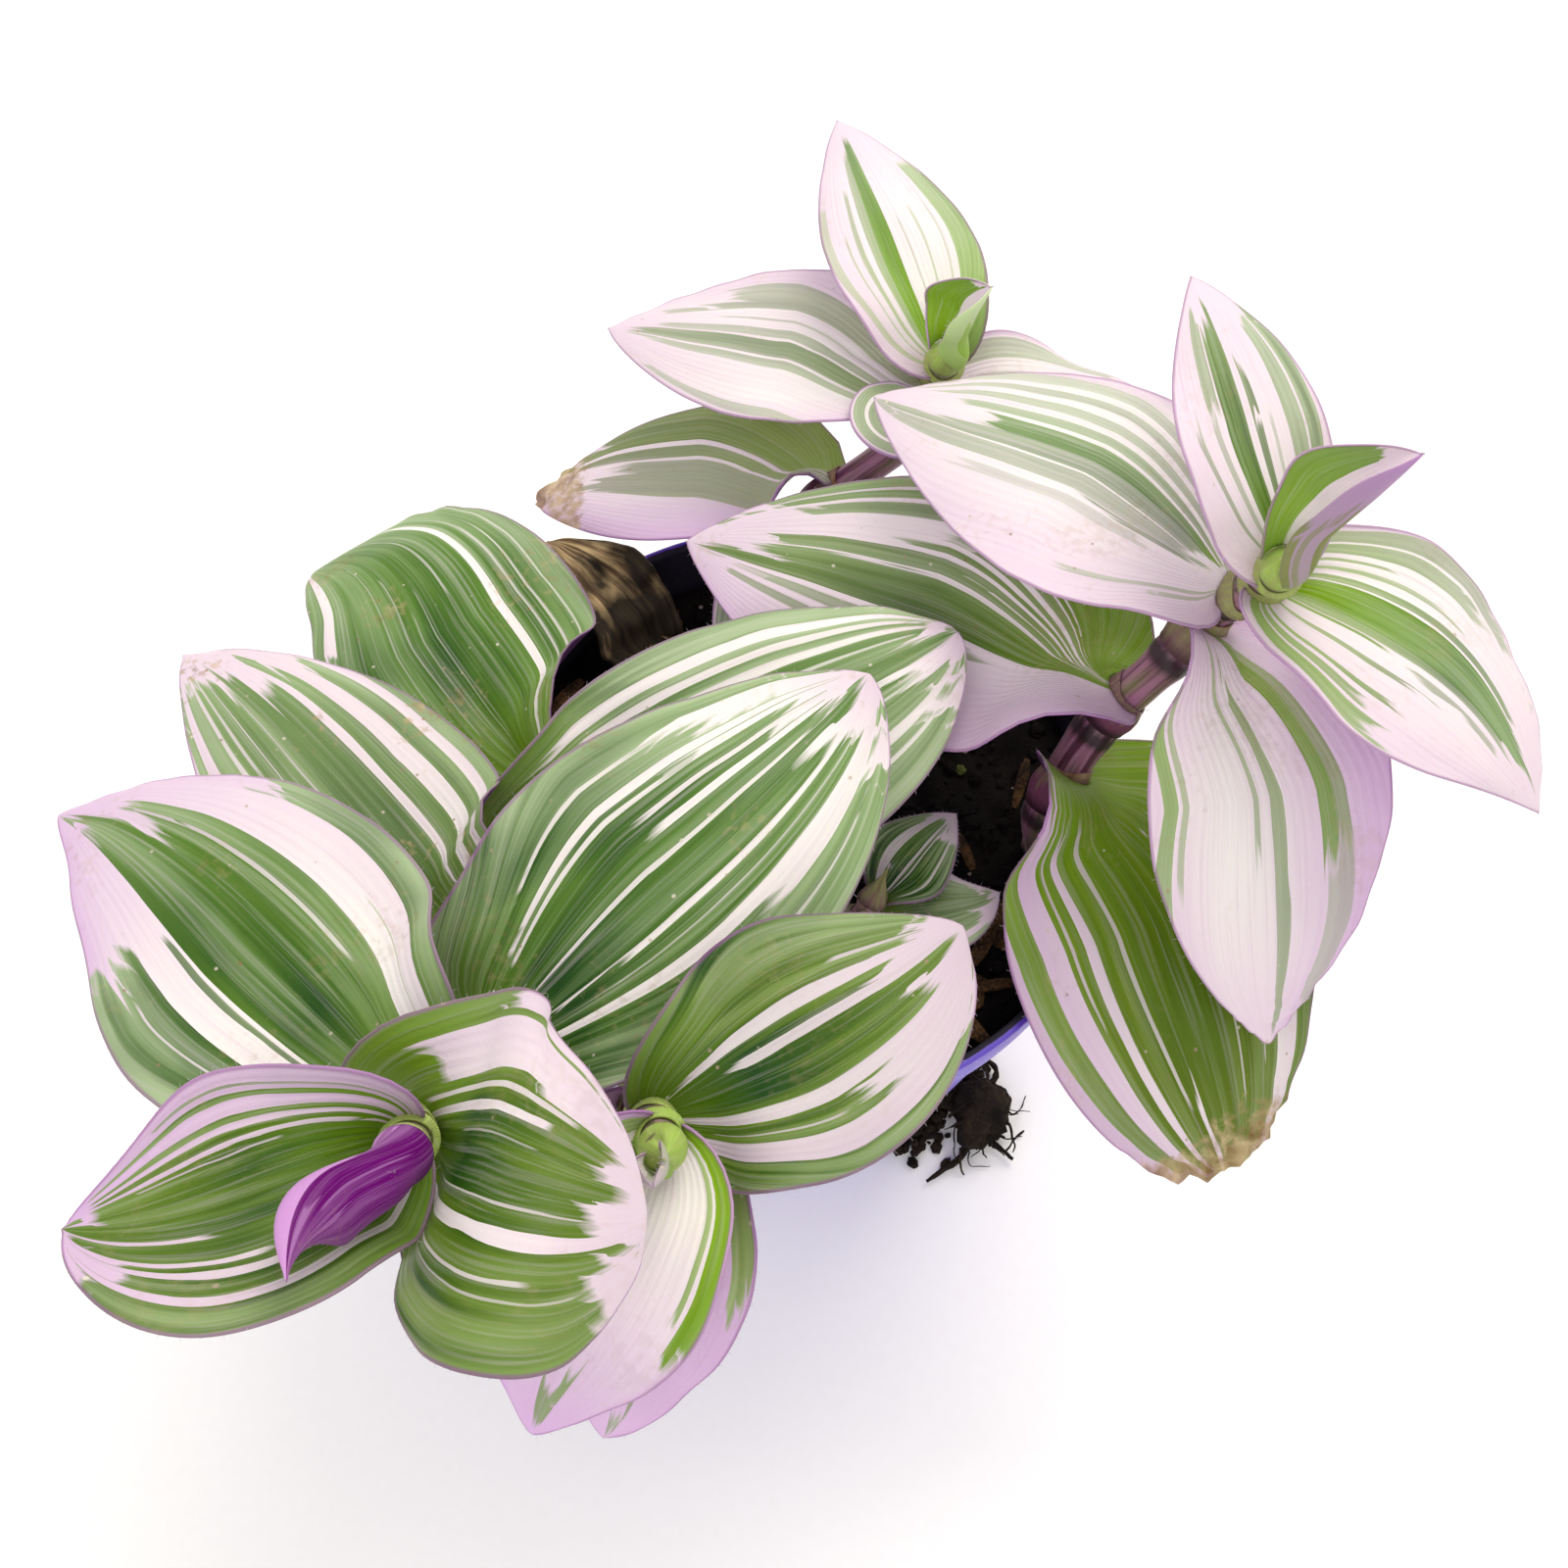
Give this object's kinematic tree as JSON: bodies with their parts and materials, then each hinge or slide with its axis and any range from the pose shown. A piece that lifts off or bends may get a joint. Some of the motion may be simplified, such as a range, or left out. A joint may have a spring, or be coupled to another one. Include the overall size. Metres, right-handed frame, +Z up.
{
  "type": "potted tradescantia",
  "caption": "Tradescantia with striped green, white and lilac leaves on leaning jointed stems, growing in a thin round plastic nursery pot of soil.",
  "frame": {"origin": "middle of the pot's flat underside", "axes": "+Z up along the pot's axis, +X to the viewer's right, +Y away from the viewer"},
  "size_m": [0.2033, 0.2022, 0.1764],
  "materials": {
    "pot_plastic": "thin translucent violet plastic, satin",
    "potting_soil": "moist dark potting soil with bark chips and pale grains",
    "root": "dark matted roots with clinging soil",
    "stem": "fleshy stem, purple brown with dark streaks, satin",
    "leaf": "fleshy leaf striped green, white and lilac above and deep purple below, satin",
    "dry_leaf": "dried brown leaf, matt and crumpled"
  },
  "bodies": {
    "root": {"leaf_back_1": "leaf", "leaf_back_2": "leaf", "leaf_back_3": "leaf", "leaf_back_4": "leaf", "leaf_back_5": "leaf", "leaf_back_6": "leaf", "leaf_dry": "dry_leaf", "leaf_front_1": "leaf", "leaf_front_2": "leaf", "leaf_front_3": "leaf", "leaf_front_4": "leaf", "leaf_front_5": "leaf", "leaf_front_6": "leaf", "leaf_front_7": "leaf", "leaf_front_8": "leaf", "leaf_middle_1": "leaf", "leaf_middle_2": "leaf", "leaf_middle_3": "leaf", "leaf_middle_4": "leaf", "leaf_right_1": "leaf", "leaf_right_2": "leaf", "leaf_right_3": "leaf", "leaf_right_4": "leaf", "leaf_right_5": "leaf", "leaf_right_6": "leaf", "leaf_right_7": "leaf", "leaf_small_1": "leaf", "leaf_small_2": "leaf", "pot": "pot_plastic", "roots": "root", "soil": "potting_soil", "stem_back": "stem", "stem_front": "stem", "stem_middle": "stem", "stem_right": "stem", "stem_small": "stem"}
  },
  "joints": []
}
